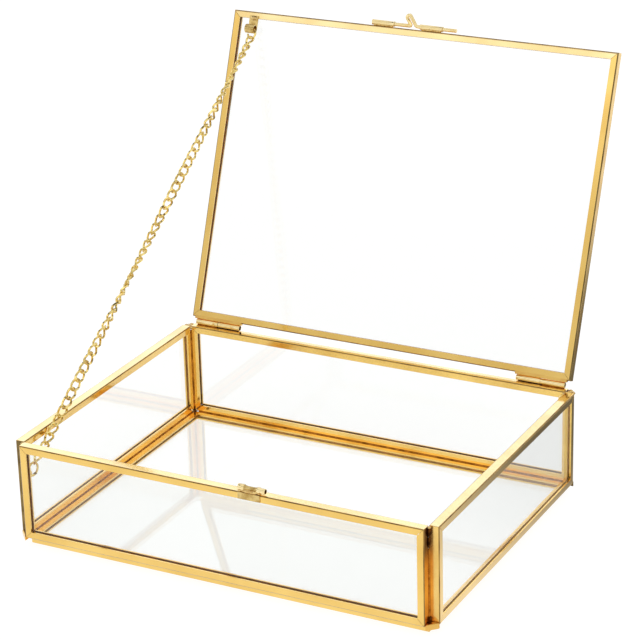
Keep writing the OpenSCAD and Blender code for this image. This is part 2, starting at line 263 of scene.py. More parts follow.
def traced(points: Sequence[Point], closed: bool = False, **settings: object) -> Obj:
    """Draw a curve along points and make it a mesh.

    Args:
        points: the points of the curve.
        closed: whether it runs back to its first point.
        **settings: the curve's own properties, such as its thickness.

    Returns:
        The mesh object.
    """
    curve = bpy.data.curves.new("curve", "CURVE")
    curve.dimensions = "3D"
    for key, value in settings.items():
        setattr(curve, key, value)
    spline = curve.splines.new("POLY")
    spline.points.add(len(points) - 1)
    for target, point in zip(spline.points, points):
        target.co = (*point, 1.0)
    spline.use_cyclic_u = closed
    obj = bpy.data.objects.new("curve", curve)
    bpy.context.scene.collection.objects.link(obj)
    focus(obj)
    bpy.ops.object.convert(target="MESH")
    return bpy.context.object


def bent_wire(points: Sequence[Point], radius: float, closed: bool = False,
              sides: int = 4) -> Obj:
    """A round wire along points, with 2 * sides + 4 faces round it."""
    obj = traced(points, closed, bevel_depth=radius, bevel_resolution=sides, use_fill_caps=True)
    pick_all(obj)
    close_edit()
    smooth_below(ROUND)
    return obj


def turned(outline: Iterable[tuple[float, float]], sides: int = 40) -> Obj:
    """Turn an outline about the X axis, ring by ring.

    Args:
        outline: place along X and radius of each ring, in order.
        sides: faces round the axis.

    Returns:
        The turned mesh object.
    """
    (x, r), *rest = outline
    bpy.ops.mesh.primitive_circle_add(vertices=sides, radius=r, fill_type="NOTHING",
                                      location=(x, 0, 0), rotation=(0, math.pi / 2, 0))
    obj = bake()
    pick_all(obj)
    for next_x, next_r in rest:
        bpy.ops.mesh.extrude_region_move(TRANSFORM_OT_translate={"value": (next_x - x, 0, 0)})
        bpy.ops.transform.resize(value=(1, next_r / r, next_r / r), center_override=(next_x, 0, 0))
        x, r = next_x, next_r
    close_edit()
    return obj


# ---- finishes


def linear(colour: str) -> tuple[float, float, float, float]:
    """The linear RGBA of an sRGB hex colour."""
    parts = [int(colour.lstrip("#")[i:i + 2], 16) / 255 for i in (0, 2, 4)]
    return (*(p / 12.92 if p <= 0.04045 else ((p + 0.055) / 1.055) ** 2.4 for p in parts), 1.0)


def add_node(tree: Tree, kind: str, inputs: Optional[dict] = None,
             **settings: object) -> bpy.types.Node:
    """Add a shader node.

    Args:
        tree: the node tree.
        kind: the node's type, without ShaderNode.
        inputs: input name or number to its value, or to the output socket that feeds it.
        **settings: the node's own properties.

    Returns:
        The new node.
    """
    node = tree.nodes.new(f"ShaderNode{kind}")
    for key, value in settings.items():
        setattr(node, key, value)
    for key, value in (inputs or {}).items():
        if isinstance(value, Socket):
            tree.links.new(value, node.inputs[key])
        else:
            node.inputs[key].default_value = value
    return node


def ramp(tree: Tree, source: Socket,
         stops: Sequence[tuple[float, Sequence[float]]],
         interpolation: str = "LINEAR") -> Socket:
    """Add a colour ramp with linear RGBA colours at its stops."""
    node = add_node(tree, "ValToRGB", {0: source})
    node.color_ramp.interpolation = interpolation
    elements = node.color_ramp.elements
    while len(elements) < len(stops):
        elements.new(0.5)
    for element, (at, colour) in zip(elements, stops):
        element.position = at
        element.color = colour
    return node.outputs["Color"]


def map_range(tree: Tree, source: Socket, *limits: float,
              interpolation: str = "LINEAR") -> Socket:
    """Add a map range from its first two limits to its last two."""
    return add_node(tree, "MapRange", {"Value": source, **dict(zip(
        ("From Min", "From Max", "To Min", "To Max"), limits))},
        interpolation_type=interpolation).outputs["Result"]


def smooth_edge(tree: Tree, source: Socket, none: float,
                full: float, most: float = 1.0) -> Socket:
    """Add a soft edge: 0 where the source is at the first value, and the most at the second."""
    return map_range(tree, source, min(none, full), max(none, full), most * (none > full),
                     most * (none < full), interpolation="SMOOTHSTEP")


def times(tree: Tree, first: Socket, second: object,
          operation: str = "MULTIPLY") -> Socket:
    """Add a product, or another sum of two, of a socket with a socket or a number."""
    return add_node(tree, "Math", {0: first, 1: second}, operation=operation).outputs[0]


@dataclass(frozen=True)
class Finish:
    """What a surface is made of."""

    name: str

    def shade(self, tree: Tree) -> bpy.types.Node:
        """Build the shader in a material's empty tree, and return its last node."""
        raise NotImplementedError

    def material(self) -> bpy.types.Material:
        """The finish as a material."""
        material = bpy.data.materials.new(self.name)
        material.use_nodes = True
        tree = material.node_tree
        tree.nodes.clear()
        add_node(tree, "OutputMaterial", {"Surface": self.shade(tree).outputs[0]})
        return material


@dataclass(frozen=True)
class Brass(Finish):
    """Lacquered brass with a cloudy tint, uneven polish and a fine surface.

    Rails are drawn through dies, which leaves lines along their length: those read the UV map,
    whose U runs along the rail. Small parts read Object coordinates and have no lines. A finish
    may be scorched between two heights, where the torch was held longest.
    """

    light: str
    dark: str
    roughness: tuple[float, float]
    cloud_mm: float
    grain_mm: float
    grain_depth: float
    drawn: bool = False
    lacquer: float = 1.0
    metal: float = 1.0
    scorch_mm: Optional[tuple[float, float]] = None
    scorch: str = "#55300A"
    # values of the cloud where the tint is dark and light, and where the polish is dull and bright
    tint_range: tuple[float, float] = (0.36, 0.62)
    polish_range: tuple[float, float] = (0.35, 0.65)
    lacquer_roughness: float = 0.05
    lacquer_ior: float = 1.6

    def shade(self, tree: Tree) -> bpy.types.Node:
        """The tint and polish by one cloud, under a fine grain."""
        coords = add_node(tree, "TexCoord").outputs
        cloud = add_node(tree, "TexNoise", {
            "Vector": coords["Object"], "Scale": 1 / (self.cloud_mm * MM), "Detail": 3.0,
            "Roughness": 0.55}).outputs["Fac"]
        colour = ramp(tree, cloud, list(zip(
            self.tint_range, (linear(self.dark), linear(self.light)))))
        if self.scorch_mm is not None:
            height = add_node(tree, "SeparateXYZ", {0: coords["Object"]}).outputs["Z"]
            burnt = smooth_edge(tree, height, *(z * MM for z in self.scorch_mm))
            colour = add_node(tree, "Mix", {"Factor": burnt, 6: colour, 7: linear(self.scorch)},
                              data_type="RGBA").outputs[2]
        smooth, rough = self.roughness
        if self.drawn:
            # die lines are about 0.05 mm apart; 0.3 mm is as fine as the render shows
            vector = add_node(tree, "Mapping", {
                "Vector": coords["UV"], "Scale": (0.02, 1 / self.grain_mm, 1.0)}).outputs[0]
            scale = 1.0
        else:
            vector, scale = coords["Object"], 1 / (self.grain_mm * MM)
        grain = add_node(tree, "TexNoise", {"Vector": vector, "Scale": scale, "Detail": 2.0})
        bump = add_node(tree, "Bump", {
            "Height": grain.outputs["Fac"], "Strength": float(self.grain_depth > 0),
            "Distance": max(self.grain_depth, 0.001) * MM})
        return add_node(tree, "BsdfPrincipled", {
            "Base Color": colour,
            "Roughness": map_range(tree, cloud, *self.polish_range, rough, smooth),
            "Normal": bump.outputs["Normal"], "Metallic": self.metal, "Coat Weight": self.lacquer,
            "Coat Roughness": self.lacquer_roughness, "Coat IOR": self.lacquer_ior})


@dataclass(frozen=True)
class Glass(Finish):
    """Clear float glass, faintly green, polished on both faces."""

    tint: str
    ior: float = 1.52

    def shade(self, tree: Tree) -> bpy.types.Node:
        """A clear, smooth shader."""
        return add_node(tree, "BsdfPrincipled", {
            "Base Color": linear(self.tint), "Roughness": 0.0, "IOR": self.ior,
            "Transmission Weight": 1.0})


@dataclass(frozen=True)
class Backdrop(Finish):
    """Matt white acrylic sheet under and behind the box, lit a little from below."""

    colour: str
    glow: float

    def shade(self, tree: Tree) -> bpy.types.Node:
        """A matt shader with a glow."""
        return add_node(tree, "BsdfPrincipled", {
            "Base Color": linear(self.colour), "Roughness": 0.9, "Specular IOR Level": 0.0,
            "Emission Color": (1.0, 1.0, 1.0, 1.0), "Emission Strength": self.glow})


@dataclass(frozen=True)
class FlagCloth(Finish):
    """Grey cloth on the white sheet, with soft edges, as the brass and the glass mirror it."""

    # how bright the bare sheet and the cloth look
    sheet_glow: float
    flag_glow: float
    # axis, and where along it in metres the sheet is bare and where the cloth is full
    edges: tuple[tuple[str, float, float], ...]

    def shade(self, tree: Tree) -> bpy.types.Node:
        """A glow that is low where every edge says cloth."""
        coords = add_node(tree, "TexCoord")
        apart = add_node(tree, "SeparateXYZ", {0: coords.outputs["Object"]})
        first, *others = (smooth_edge(tree, apart.outputs[axis], bare, full)
                          for axis, bare, full in self.edges)
        for other in others:
            first = times(tree, first, other)
        return add_node(tree, "Emission", {"Strength": map_range(
            tree, first, 0.0, 1.0, self.sheet_glow, self.flag_glow)})


# drawn brass channel under clear lacquer: bright gold with soft streaks along the rail
RAIL_BRASS = Brass("drawn brass channel", "#F5CC6A", "#E9BD58", (0.10, 0.16), 26.0, 0.3, 0.0015,
                   drawn=True)
# top faces, paler than the rest: a painted highlight where they face the light
HIGHLIGHT_TOP_BRASS = Brass("channel top with painted highlight", "#F8E0A0", "#EFCF86", (0.10, 0.16), 26.0, 0.3, 0.0015,
                     drawn=True)
# the bends, painted dark olive: painted shade where the rounded edges turn away from the light
SHADED_BEND_BRASS = Brass("bend with painted shade", "#AA853C", "#70501E", (0.20, 0.32), 9.0, 0.5, 0.003,
                   lacquer=0.4)
# webs of the side rails, less polished than the faces
WEB_BRASS = Brass("dull channel back", "#F0C974", "#DCB058", (0.14, 0.22), 14.0, 0.5, 0.002,
                  lacquer=0.4)
# olive brass, painted shade: the webs of the left panel's posts, the lid's side bends, the back
# feet and the base ring's joint, where the brass looks dark
OLIVE_SHADE_BRASS = Brass("olive painted shade", "#8C7440", "#5E4A20", (0.22, 0.34), 9.0, 0.5, 0.003,
                    lacquer=0.3)
# webs of the front and back posts: the torch burnt the top of each seam brown
CORNER_TINT = Brass("heat-tinted brass", "#F0B244", "#D48E22", (0.14, 0.22), 14.0, 0.5, 0.002,
                    lacquer=0.0, scorch_mm=(30.0, 41.0))
# the channel's inside, where flux and cement dry to a brown skin over the brass
PATINA = Brass("flux-stained channel inside", "#E89A30", "#B86A14", (0.34, 0.46), 6.0, 0.5, 0.004,
               lacquer=0.0, metal=0.8)
# cut and rolled brass hardware: bright, a little scuffed
HARDWARE_BRASS = Brass("rolled brass fittings", "#FFE9AE", "#F6D88E", (0.05, 0.10), 9.0, 0.4, 0.0)
# the lid's hinge leaves, soldered flush with the rail: the same gold, without die lines
LEAF_BRASS = Brass("hinge leaf brass", "#F0C568", "#E0AE50", (0.12, 0.20), 12.0, 0.5, 0.002,
                   lacquer=0.6)
# brass wire, tumbled nearly mirror bright
CHAIN_BRASS = Brass("tumbled brass wire", "#F8E08A", "#CDAA4C", (0.05, 0.10), 1.6, 0.6, 0.0)
# solder plated with brass after the joint was made: a little duller and cloudy
SOLDER = Brass("brass-plated solder", "#F2D184", "#C49A4C", (0.14, 0.26), 1.8, 0.6, 0.012)
# dark brown, dull: solder scorched by the torch, and painted shade in bores, crevices, the corners'
# notches and under the hinge barrels
SCORCH_AND_SHADE = Brass("scorched solder and painted shade", "#6E4218", "#3A1E08", (0.35, 0.50), 2.0, 0.5, 0.04, lacquer=0.0)
# the tab, the skirt and the keeper's waist, painted darker and duller: painted shade where they
# face down, sit under the keeper or are pinched in
SHADED_SHEET_BRASS = Brass("sheet brass with painted shade", "#DCC07C", "#B4924C", (0.16, 0.28), 3.0, 0.5, 0.002,
                    lacquer=0.3)
# solder that ran along a seam: thin, so the brass shows through it
SEAM_SOLDER = Brass("thin seam solder", "#C07E2C", "#8A5216", (0.20, 0.32), 3.0, 0.5, 0.01,
                    lacquer=0.0)
# float glass: clear, nearly without colour at this thickness
CLEAR_GLASS = Glass("clear float glass", "#F9FAF9")
# opal acrylic, lit evenly from below so that it washes out to white
TABLE = Backdrop("matt white acrylic", "#848484", 0.885)
# wool cloth, plain grey, in the brass's view of the floor behind the box's right side
FLAG = FlagCloth("grey flag cloth", 1.03, 0.16,
                 (("X", 0.097, 0.106), ("X", 0.23, 0.17), ("Y", -0.06, 0.13)))


class Wardrobe:
    """Makes each finish once, and fits out the pieces with it."""

    def __init__(self) -> None:
        """Start with no materials made."""
        self.made: dict[str, bpy.types.Material] = {}

    def add(self, obj: Obj, finish: Finish) -> None:
        """Add a finish after those that a piece has."""
        if finish.name not in self.made:
            self.made[finish.name] = finish.material()
        obj.data.materials.append(self.made[finish.name])

    def put(self, obj: Obj, finish: Finish) -> None:
        """Give a piece its finish, in place of any that it had."""
        obj.data.materials.clear()
        self.add(obj, finish)

    def fit(self, obj: Obj, place: Matrix, name: str, finish: Finish,
            body: str, node: str, lines: Sequence[tuple[Finish, Test]] = ()) -> None:
        """Dress a drawn piece, put it in its place and let it ride there for a CAD node.

        Args:
            obj: the piece, drawn in millimetres.
            place: where it goes, in millimetres.
            name: its name.
            finish: its finish.
            body: the body that it rides on.
            node: the CAD node that it stands for.
            lines: other finishes, each with the test that its faces pass, as they are drawn.
        """
        self.put(obj, finish)
        for number, (other, inside) in enumerate(lines, 1):
            self.add(obj, other)
            for face in obj.data.polygons:
                if inside(face.center, face.normal):
                    face.material_index = number
        settle(obj, place, name)
        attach(obj, body)
        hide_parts(node)


# ---- the box


@dataclass
class Sizes:
    """Sizes that several sub-assemblies share, in millimetres."""

    width: float = 200.0
    depth: float = 152.0
    height: float = 48.5
    panel: float = 4.6
    wall: float = 0.8
    face: float = 3.2
    glass: float = 3.0
    lid_width: float = 192.6
    lid_depth: float = 146.2
    lid_z: float = 48.7
    hinge_y: float = 75.2
    hinge_z: float = 50.0
    open_angle: float = 110.9

    @property
    def inner_width(self) -> float:
        """Distance between the inner faces of the side panels."""
        return self.width - 2 * self.panel

    @property
    def inner_depth(self) -> float:
        """Distance between the inner faces of the front and back panels."""
        return self.depth - 2 * self.panel

    @property
    def wall_height(self) -> float:
        """Height of the upright panels."""
        return self.height - self.panel

    def opened(self) -> Matrix:
        """The turn that takes what is drawn on the closed lid to the open lid."""
        hinge = (0, self.hinge_y, self.hinge_z)
        return shift(*hinge) @ turn(-self.open_angle, "X") @ shift(*hinge).inverted()

    def upright(self, degrees: float, reach: float) -> Matrix:
        """The place of an upright panel that is drawn in the XY plane.

        Args:
            degrees: its turn from the front panel, seen from above.
            reach: distance of its inner face from the middle.

        Returns:
            The matrix.
        """
        return (turn(degrees, "Z") @ shift(0, -reach, self.panel + self.wall_height / 2)
                @ turn(90, "X"))


@dataclass
class Channel:
    """A mitred length of drawn channel, its back at Y = 0 and its mouth towards +Y."""

    length: float
    sizes: Sizes
    bend: float
    mitre_gap: float = 0.05
    edge: float = 0.09

    def build(self) -> Obj:
        """The channel in millimetres, with a UV map along its length."""
        s = self.sizes
        obj = plane(s.face, s.panel, (s.face / 2, s.panel / 2, 0))
        for point, normal in (((s.wall, 0, 0), (1, 0, 0)), ((0, s.wall, 0), (0, 1, 0)),
                              ((0, s.panel - s.wall, 0), (0, 1, 0))):
            pick_all(obj)
            bpy.ops.mesh.bisect(plane_co=point, plane_no=normal)
            leave_edit()
        pick(obj, Part.FACE, lambda c, n: c.x > s.wall and s.wall < c.y < s.panel - s.wall)
        bpy.ops.mesh.delete(type="FACE")
        leave_edit()
        pick(obj, Part.VERT, lambda c, n: c.x < 0.01 and min(c.y, s.panel - c.y) < 0.01)
        bpy.ops.mesh.bevel(offset=self.bend, segments=5, affect="VERTICES")
        bpy.ops.mesh.select_all(action="SELECT")
        bpy.ops.mesh.extrude_region_move(TRANSFORM_OT_translate={"value": (0, 0, self.length)})
        leave_edit()
        placed(obj, shift(-self.length / 2, 0, 0) @ CYCLE)
        end = self.length / 2 - self.mitre_gap
        for way in (1, -1):
            cut_off(obj, (way * end, 0, 0), (way, 1, 0))
            leave_edit()
        pick_all(obj)
        close_edit()
        soften(obj, self.edge)
        pick_all(obj)
        # one unit of UV to the millimetre
        bpy.ops.uv.cube_project(cube_size=1.0, correct_aspect=False)
        leave_edit()
        return obj


@dataclass
class Panel:
    """A pane of glass in a frame of four mitred rails."""

    name: str
    width: float
    height: float
    place: Matrix
    body: str
    sizes: Sizes
    backs: Brass = RAIL_BRASS
    # what its low, high, left and right sides are called
    rails: tuple[str, ...] = ("front_rail", "back_rail", "left_rail", "right_rail")
    bend: float = 0.6
    glass_inset: float = 1.0
    glass_play: float = 0.04

    def build(self, wardrobe: Wardrobe) -> None:
        """Model the four rails and the pane, put them in place and dress them."""
        for side, rail in zip(Side, self.rails):
            level = side in (Side.LOW, Side.HIGH)
            length, reach = (self.width, self.height) if level else (self.height, self.width)
            on_lid = self.body == "lid"
            lines = [(PATINA, self.in_slot)]
            if self.name != "bottom":
                # the bends carry painted shade, in olive on the lid's side rails
                lines += [(OLIVE_SHADE_BRASS if on_lid and not level else SHADED_BEND_BRASS, self.on_bend),
                          (HIGHLIGHT_TOP_BRASS if level else self.backs, self.on_web)]
            node = f"{self.name}_{rail}"
            # painted highlight on the webs of level rails, which face up, and all over the lid's
            # front rail, which faces up when the lid is open
            wardrobe.fit(Channel(length, self.sizes, self.bend).build(),
                         self.place @ turn(side.value, "Z") @ shift(0, -reach / 2, 0),
                         f"{node}_channel", HIGHLIGHT_TOP_BRASS if on_lid and side is Side.LOW
                         else RAIL_BRASS, self.body, node, lines)
        glass = block((self.width - 2 * self.glass_inset, self.height - 2 * self.glass_inset,
                       self.sizes.glass - self.glass_play), (0, 0, self.sizes.panel / 2))
        wardrobe.fit(soften(glass, 0.15, smooth=False), self.place, f"{self.name}_glass_pane",
                     CLEAR_GLASS, self.body, f"{self.name}_glass")

    def on_bend(self, middle: Vector, normal: Vector) -> bool:
        """Whether a channel's face is in the middle of one of its two bends."""
        return (middle.y < self.bend and normal.y < -0.4 and abs(normal.z) > 0.4
                and abs(normal.x) < 0.3)

    @staticmethod
    def on_web(middle: Vector, normal: Vector) -> bool:
        """Whether a channel's face is on the outside of its web."""
        return middle.y < 0.05 and normal.y < -0.95

    def in_slot(self, middle: Vector, normal: Vector) -> bool:
        """Whether a channel's face is inside its slot."""
        s = self.sizes
        return (abs(normal.z) > 0.9 and s.wall - 0.02 < middle.z < s.panel - s.wall + 0.02
                and middle.y > s.wall)


@dataclass
class Frames:
    """The six framed panels: four walls, the bottom and the lid."""

    sizes: Sizes

    def build(self, wardrobe: Wardrobe) -> None:
        """Build every panel in its place."""
        s = self.sizes
        across, along = (s.inner_width, s.inner_depth / 2), (s.inner_depth, s.inner_width / 2)
        # the turn of each wall, its width and reach, and the posts at its left and right
        for name, degrees, (width, reach), left, right, backs in (
                ("front", 0, across, "left_post", "right_post", CORNER_TINT),
                ("back", 180, across, "right_post", "left_post", CORNER_TINT),
                ("right", 90, along, "front_post", "back_post", WEB_BRASS),
                ("left", -90, along, "back_post", "front_post", OLIVE_SHADE_BRASS)):
            Panel(name, width, s.wall_height, s.upright(degrees, reach), "base", s, backs,
                  ("bottom_rail", "top_rail", left, right)).build(wardrobe)
        Panel("bottom", s.inner_width, s.inner_depth, Matrix(), "base", s).build(wardrobe)
        Panel("lid", s.lid_width, s.lid_depth, s.opened() @ shift(0, 0, s.lid_z), "lid", s,
              WEB_BRASS, bend=1.0).build(wardrobe)


def lump(size: Point, seed: int, rough: float = 0.12) -> Obj:
    """A lump of solder about the origin.

    Args:
        size: half its length along each axis.
        seed: varies the lump.
        rough: how uneven it is, as a share of its size.

    Returns:
        The lump.
    """
    bpy.ops.mesh.primitive_ico_sphere_add(subdivisions=2, radius=1.0)
    obj = bpy.context.object
    pick_all(obj)
    roughen(rough, seed)
    leave_edit()
    obj.scale = size
    return round_over(bake())


def bead(length: float, half: tuple[float, float], seed: int, rough: float = 0.06,
         step: float = 1.2) -> Obj:
    """A hand-laid bead of solder along X, its middle at the origin.

    Args:
        length: length of the bead.
        half: half its thickness along Y and Z.
        seed: varies the bead.
        rough: how far its surface wanders, in millimetres.
        step: distance between its rings.

    Returns:
        The bead.
    """
    bpy.ops.mesh.primitive_cylinder_add(vertices=10, radius=1.0, depth=length,
                                        rotation=(0, math.pi / 2, 0))
    bpy.context.object.scale = (half[1], half[0], 1.0)
    obj = bake()
    pick(obj, Part.EDGE, lambda c, d: abs(d.x) > 0.9)
    bpy.ops.mesh.subdivide(number_cuts=max(2, int(length / step)))
    bpy.ops.mesh.select_all(action="SELECT")
    roughen(rough, seed)
    close_edit()
    return round_over(obj)


@dataclass
class Solderwork:
    """Beads, feet and lumps of solder between the panels."""

    sizes: Sizes
    seam: float = 0.5
    # the fill at the bottom of a corner: its height, its top over the panels' and its play
    foot: float = 2.7
    foot_top: float = 1.0
    foot_out: float = 0.15
    # the fill at the top of a back corner: its height and its depth under the box's top
    cap: float = 1.6
    cap_depth: float = 0.4
    # dark lumps at the top of a front corner, scorched solder and painted shade in the corner's
    # notch: from and to, down from the top, and half width
    top_lumps: tuple[Point, ...] = ((0.3, 5.4, 0.95), (4.4, 10.4, 0.8), (9.6, 14.0, 0.62))
    # lumps at the top of a back corner: out along X and Y, height over the top, and half width
    cap_lumps: tuple[tuple[float, float, float, float], ...] = (
        (1.5, 1.3, -0.55, 1.5), (3.2, 1.6, -0.7, 1.2), (1.4, 3.3, -0.6, 1.3),
        (0.1, 0.2, -0.55, 1.5), (2.6, 2.9, -1.0, 1.1))
    # half sizes of the lumps in a foot, against its inner corner and at the top of a front corner
    fillet: Point = (0.9, 0.9, 1.5)
    root: Point = (0.85, 0.85, 0.9)
    drop: Point = (1.0, 1.0, 0.45)
    front_seam_top: float = 12.0
    back_seam_top: float = 1.2
    # how much shorter than its wall a bottom seam is
    seam_short: float = 3.0

    def fill(self, height: float, seed: int) -> Obj:
        """A three-cornered fill of solder, its right angle at the origin and centred on Z = 0."""
        side = self.sizes.panel
        obj = block((side, side, height), (side / 2, side / 2, 0))
        cut_off(obj, (side, 0, 0), (1, 1, 0))
        close_edit()
        soften(obj, 0.35)
        pick_all(obj)
        bpy.ops.mesh.quads_convert_to_tris()
        bpy.ops.mesh.subdivide(number_cuts=2)
        roughen(0.035, seed, 0.4, 2)
        close_edit()
        return round_over(obj)

    def corner(self, wardrobe: Wardrobe, sx: int, sy: int, seed: int) -> None:
        """Lay the solder of one upright corner.

        Args:
            wardrobe: holds the finishes.
            sx, sy: which corner, as signs of X and Y.
            seed: varies the lumps.
        """
        s = self.sizes
        spin = turn({(1, 1): 0, (-1, 1): 90, (-1, -1): 180, (1, -1): 270}[(sx, sy)], "Z")
        top, low = s.height, s.panel + self.foot_top

        def lay(piece: Obj, out: tuple[float, float], z: float, name: str,
                finish: Brass, joint: str, way: Matrix = Matrix()) -> None:
            """Put a piece at a distance outwards along X and Y, and at a height."""
            place = shift(sx * (s.inner_width / 2 + out[0]), sy * (s.inner_depth / 2 + out[1]), z)
            wardrobe.fit(piece, place @ way, name, finish, "base", f"{joint}_solder")

        high = top - (self.front_seam_top if sy < 0 else self.back_seam_top)
        lay(bead(high - low, (self.seam, self.seam), seed, 0.03, 3.0), (0, 0), (high + low) / 2,
            f"upright_bead_{seed}", SEAM_SOLDER, "upright_seam", turn(90, "Y"))
        if sy < 0:
            for number, (start, end, half) in enumerate(self.top_lumps):
                lay(lump((half, half, (end - start) / 2), seed + 40 + number),
                    (half - 0.55, half - 0.55), top - (start + end) / 2,
                    f"top_lump_{seed}_{number}", SCORCH_AND_SHADE if number < 2 else SEAM_SOLDER,
                    "upright_seam")
            lay(lump(self.drop, 70 + seed, 0.14), (0.5, 0.9), top - 0.5,
                f"front_drop_{seed}", SOLDER, "upright_seam")
        # the back feet are olive: painted shade in the back corners
        lay(self.fill(self.foot, 20 + seed), (self.foot_out, self.foot_out), low - self.foot / 2,
            f"foot_{seed}", LEAF_BRASS if sy < 0 else OLIVE_SHADE_BRASS, "corner_foot", spin)
        # dark lumps in the crease over the foot: painted shade
        lay(lump(self.fillet, 60 + seed), (0.25, 0.25), low + 0.7, f"foot_fillet_{seed}",
            SCORCH_AND_SHADE, "corner_foot")
        lay(lump(self.root, 64 + seed), (-0.1, -0.1), s.panel + 0.1,
            f"foot_root_{seed}", SCORCH_AND_SHADE, "corner_foot")
        if sy > 0:
            lay(self.fill(self.cap, 30 + seed), (0, 0), top - self.cap_depth - self.cap / 2,
                f"cap_{seed}", SOLDER, "back_corner", spin)
            for number, (dx, dy, dz, half) in enumerate(self.cap_lumps):
                lay(lump((half, half, 0.75), 80 + 5 * seed + number, 0.16), (dx, dy), top + dz,
                    f"corner_lump_{seed}_{number}", SOLDER, "back_corner")

    def build(self, wardrobe: Wardrobe) -> None:
        """Lay the solder in the four upright corners and under the walls."""
        s = self.sizes
        for seed, (sx, sy) in enumerate(((-1, -1), (1, -1), (1, 1), (-1, 1)), 1):
            self.corner(wardrobe, sx, sy, seed)
        x, y = s.inner_width, s.inner_depth
        for seed, (degrees, across, along) in enumerate(
                ((0, x, y), (180, x, y), (90, y, x), (-90, y, x)), 5):
            wardrobe.fit(bead(across - self.seam_short, (self.seam, self.seam), seed, step=2.4),
                         turn(degrees, "Z") @ shift(0, -along / 2, s.panel),
                         f"bottom_bead_{seed}", SEAM_SOLDER, "base",
                         "bottom_seam_solder")


@dataclass
class Hinges:
    """Two barrel hinges, each of two rolled knuckles on a pin."""

    sizes: Sizes
    outer_r: float = 1.25
    pin_r: float = 0.7
    mouth_r: float = 1.04
    knuckle: float = 11.6
    middle: float = 82.3
    gap: float = 0.12
    recess: float = 3.4
    # the groove where the edges of a knuckle's sheet meet: half its width, and its depth
    groove: tuple[float, float] = (0.08, 0.12)
    # the lid's leaf: how far it passes the knuckles, its depth and its height
    leaf: Point = (1.6, 1.75, 2.0)
    # half thickness along Y and Z of the painted shadow under the barrel, the lid's arm and the
    # box's seat
    barrel_shadow: tuple[float, float] = (0.6, 0.17)
    arm: tuple[float, float] = (0.62, 0.75)
    seat: tuple[float, float] = (1.05, 0.42)
    # how far round each knuckle's seam is turned, in degrees
    base_seam: float = 215.0
    lid_seam: float = 150.0

    def barrel(self, bore_r: float, mouth_r: float) -> Obj:
        """A rolled knuckle along X from 0, with its seam along the length.

        Args:
            bore_r: radius of the bore.
            mouth_r: radius of the bore at the end at X = 0.

        Returns:
            The knuckle.
        """
        lip, rim, length, r = 0.14, 0.08, self.knuckle, self.outer_r
        obj = turned([(lip, mouth_r), (0, mouth_r + rim), (0, r - rim), (lip, r),
                      (length - lip, r), (length, r - lip), (length, bore_r + lip),
                      (length - lip, bore_r), (self.recess, bore_r), (self.recess - 0.8, mouth_r),
                      (lip, mouth_r)])
        half_width, depth = self.groove
        pick(obj, Part.EDGE, lambda c, d: abs(d.x) > 0.99 and abs(c.y) < 0.01 and c.z > r - 0.01)
        bpy.ops.mesh.bevel(offset=half_width, segments=2, affect="EDGES")
        leave_edit()
        pick(obj, Part.EDGE, lambda c, d: abs(d.x) > 0.99 and abs(c.y) < 0.02 and c.z > r - 0.2)
        bpy.ops.transform.translate(value=(0, 0, -depth))
        close_edit()
        smooth_below(34)
        return obj

    def pin(self, start: float, end: float) -> Obj:
        """The pin along X, its ends a little rounded."""
        r, lip = self.pin_r, 0.15
        obj = turned([(start, 0.05), (start, r - lip), (start + lip, r), (end - lip, r),
                      (end, r - lip), (end, 0.05)], 24)
        pick_all(obj)
        bpy.ops.mesh.select_all(action="DESELECT")
        bpy.ops.mesh.select_non_manifold()
        bpy.ops.mesh.fill_holes(sides=0)
        close_edit()
        smooth_below(40)
        return obj

    def solder(self, wardrobe: Wardrobe, side: str, sign: int) -> None:
        """Lay what holds the knuckles: a leaf and an arm on the lid, and a seat on the box.

        Args:
            wardrobe: holds the finishes.
            side: the hinge's side, for the names.
            sign: -1 for the left hinge and 1 for the right.
        """
        s = self.sizes
        opened, back = s.opened(), s.lid_depth / 2
        inner = self.middle - self.gap / 2 - self.knuckle
        outer = self.middle + self.gap / 2 + self.knuckle
        at = sign * (outer + inner) / 2
        lid_at, base_at = sign * (inner + self.knuckle / 2), sign * (outer - self.knuckle / 2)
        past, depth, height = self.leaf
        leaf = soften(block((outer - inner + past, depth, height)), 0.3, 3)
        barrel_shadow = bead(outer - inner - 0.6, self.barrel_shadow, 96 + sign, 0.02)
        arm = bead(self.knuckle - 0.8, self.arm, 92 + sign)
        seat = bead(self.knuckle - 0.4, self.seat, 94 + sign, 0.07)
        for piece, place, name, finish, body in (
                (leaf, opened @ shift(at, back - 0.1, s.lid_z + 0.97), "leaf", LEAF_BRASS, "lid"),
                # a dark strip on the box's top under the barrel: painted shadow and reflection of
                # the barrel
                (barrel_shadow, shift(at, s.hinge_y - 0.2, s.height), "barrel_shadow", SCORCH_AND_SHADE, "base"),
                (arm, opened @ shift(lid_at, back + 0.55, s.hinge_z + 0.2), "arm", LEAF_BRASS,
                 "lid"),
                (seat, shift(base_at, s.hinge_y + 0.1, s.height + 0.2), "seat", SEAM_SOLDER,
                 "base")):
            wardrobe.fit(piece, place, f"{body}_{name}_{side}", finish, body,
                         f"{body}_hinge_solder")

    def build(self, wardrobe: Wardrobe) -> None:
        """Roll the knuckles, cut the pins and lay the solder under and behind them."""
        s = self.sizes
        base_x = self.middle + self.gap / 2
        lid_x = self.middle - self.gap / 2 - self.knuckle
        for side, sign in (("left", -1), ("right", 1)):
            base = placed(self.barrel(self.pin_r, self.pin_r + 0.1),
                          shift(base_x, 0, 0) @ turn(self.base_seam, "X"))
            lid = placed(self.barrel(self.pin_r + 0.05, self.mouth_r),
                         shift(lid_x, 0, 0) @ turn(self.lid_seam, "X"))
            pin = self.pin(lid_x + self.recess, base_x + self.knuckle)
